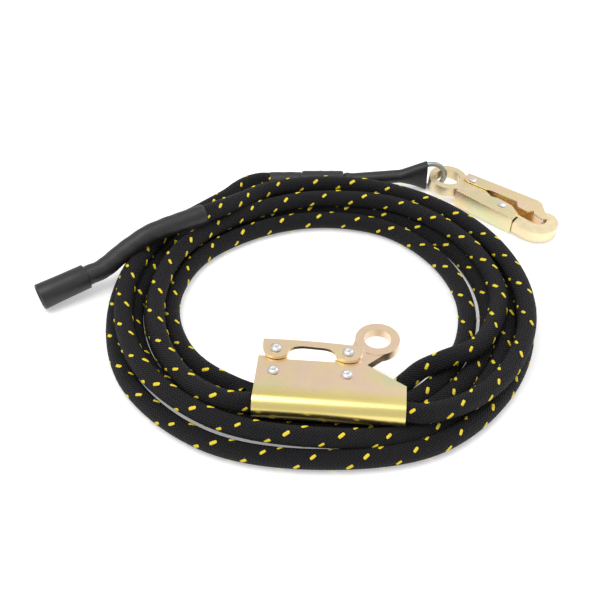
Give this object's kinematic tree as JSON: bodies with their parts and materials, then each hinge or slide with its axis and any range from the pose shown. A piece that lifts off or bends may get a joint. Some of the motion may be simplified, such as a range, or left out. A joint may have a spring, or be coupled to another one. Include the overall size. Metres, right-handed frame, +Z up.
{
  "type": "rope grab",
  "caption": "Folded steel rope grab with a linked cam lever and eye, on a coiled anchor rope with a double-locking snap hook and a sleeved stop end.",
  "frame": {"origin": "on the floor, under the middle of the box of the set's own hard pieces (grab, hook, thimble end, stop cap)", "axes": "+Z up; +X to the right, along the splice towards the snap hook; +Y away from the grab's side of the coil"},
  "size_m": [0.4314, 0.3393, 0.0433],
  "materials": {
    "rope": "black braided polyester sheath with yellow tracer yarns",
    "shrink": "black heat-shrink sleeve, satin",
    "end_plug": "brown rubber end face",
    "zinc_yellow": "yellow iridescent zinc plate, satin to bright",
    "forged_zinc": "pale yellow zinc plate on forged steel, satin",
    "rivet_steel": "bright rivet heads",
    "spring_steel": "drawn spring wire",
    "galvanised": "dull galvanised steel",
    "ferrule_metal": "swaged aluminium"
  },
  "bodies": {
    "anchor_rope": {"rope_coil": "rope", "rope_run": "rope", "rope_lead_in": "rope", "label_sleeve": "shrink", "ferrule_sleeve": "shrink", "splice_ferrule": "ferrule_metal", "eye_sleeve": "shrink", "thimble": "galvanised", "stop_sleeve": "shrink", "stop_cap": "shrink", "end_plug": "end_plug"},
    "grab": {"grab_body": "zinc_yellow", "body_rivet_a": "rivet_steel", "body_rivet_b": "rivet_steel", "cam_spacer_a_upper": "rivet_steel", "cam_spacer_a_lower": "rivet_steel", "cam_spacer_b_lower": "rivet_steel", "lever_spring": "spring_steel"},
    "lever": {"lever_cam": "zinc_yellow", "link_rivet_b": "rivet_steel", "link_bush_b_upper": "rivet_steel", "link_bush_b_lower": "rivet_steel"},
    "rear": {"rear_cam": "zinc_yellow", "link_rivet_a": "rivet_steel", "link_bush_a_upper": "rivet_steel", "link_bush_a_lower": "rivet_steel"},
    "links": {"link_plate_upper": "zinc_yellow", "link_plate_lower": "zinc_yellow"},
    "hook": {"hook_body": "forged_zinc", "gate_rivet": "rivet_steel", "lock_rivet": "rivet_steel", "gate_spring": "spring_steel", "lock_spring": "spring_steel"},
    "gate": {"hook_gate": "zinc_yellow"},
    "lock": {"hook_lock_lever": "zinc_yellow"}
  },
  "joints": [
    {"name": "grab_slide", "type": "slide", "parent": "anchor_rope", "child": "grab", "axis": [0.9963, -0.0854, 0], "range_m": [-0.01, 0.01]},
    {"name": "lever_turn", "type": "hinge", "parent": "grab", "child": "lever", "pos_m": [0.02674, -0.12285, 0.0246], "axis": [0, 0, 1], "range_deg": [-20, 0], "stiffness_Nm_per_rad": 0.3, "springref_deg": 11.46},
    {"name": "rear_cam_turn", "type": "hinge", "parent": "grab", "child": "rear", "pos_m": [-0.02408, -0.1185, 0.0246], "axis": [0, 0, 1], "range_deg": [-20, 0]},
    {"name": "link_turn", "type": "hinge", "parent": "lever", "child": "links", "pos_m": [0.02836, -0.10392, 0.0246], "axis": [0, 0, 1], "range_deg": [0, 20]},
    {"name": "hook_swing", "type": "hinge", "parent": "anchor_rope", "child": "hook", "pos_m": [0.12453, 0.14811, 0.0143], "axis": [0, 0, 1], "range_deg": [-8, 10]},
    {"name": "gate_turn", "type": "hinge", "parent": "hook", "child": "gate", "pos_m": [0.1477, 0.13571, 0.01181], "axis": [0.0467, -0.0365, 0.9982], "range_deg": [-14, 0], "stiffness_Nm_per_rad": 0.2, "springref_deg": 8.59},
    {"name": "lock_turn", "type": "hinge", "parent": "hook", "child": "lock", "pos_m": [0.16853, 0.09913, 0.0095], "axis": [0.0467, -0.0365, 0.9982], "range_deg": [-7, 0]}
  ],
  "couplings": [
    {"joint": "rear_cam_turn", "follows": "lever_turn", "ratio": 1},
    {"joint": "link_turn", "follows": "lever_turn", "ratio": -1},
    {"joint": "lock_turn", "follows": "gate_turn", "ratio": 0.5}
  ]
}
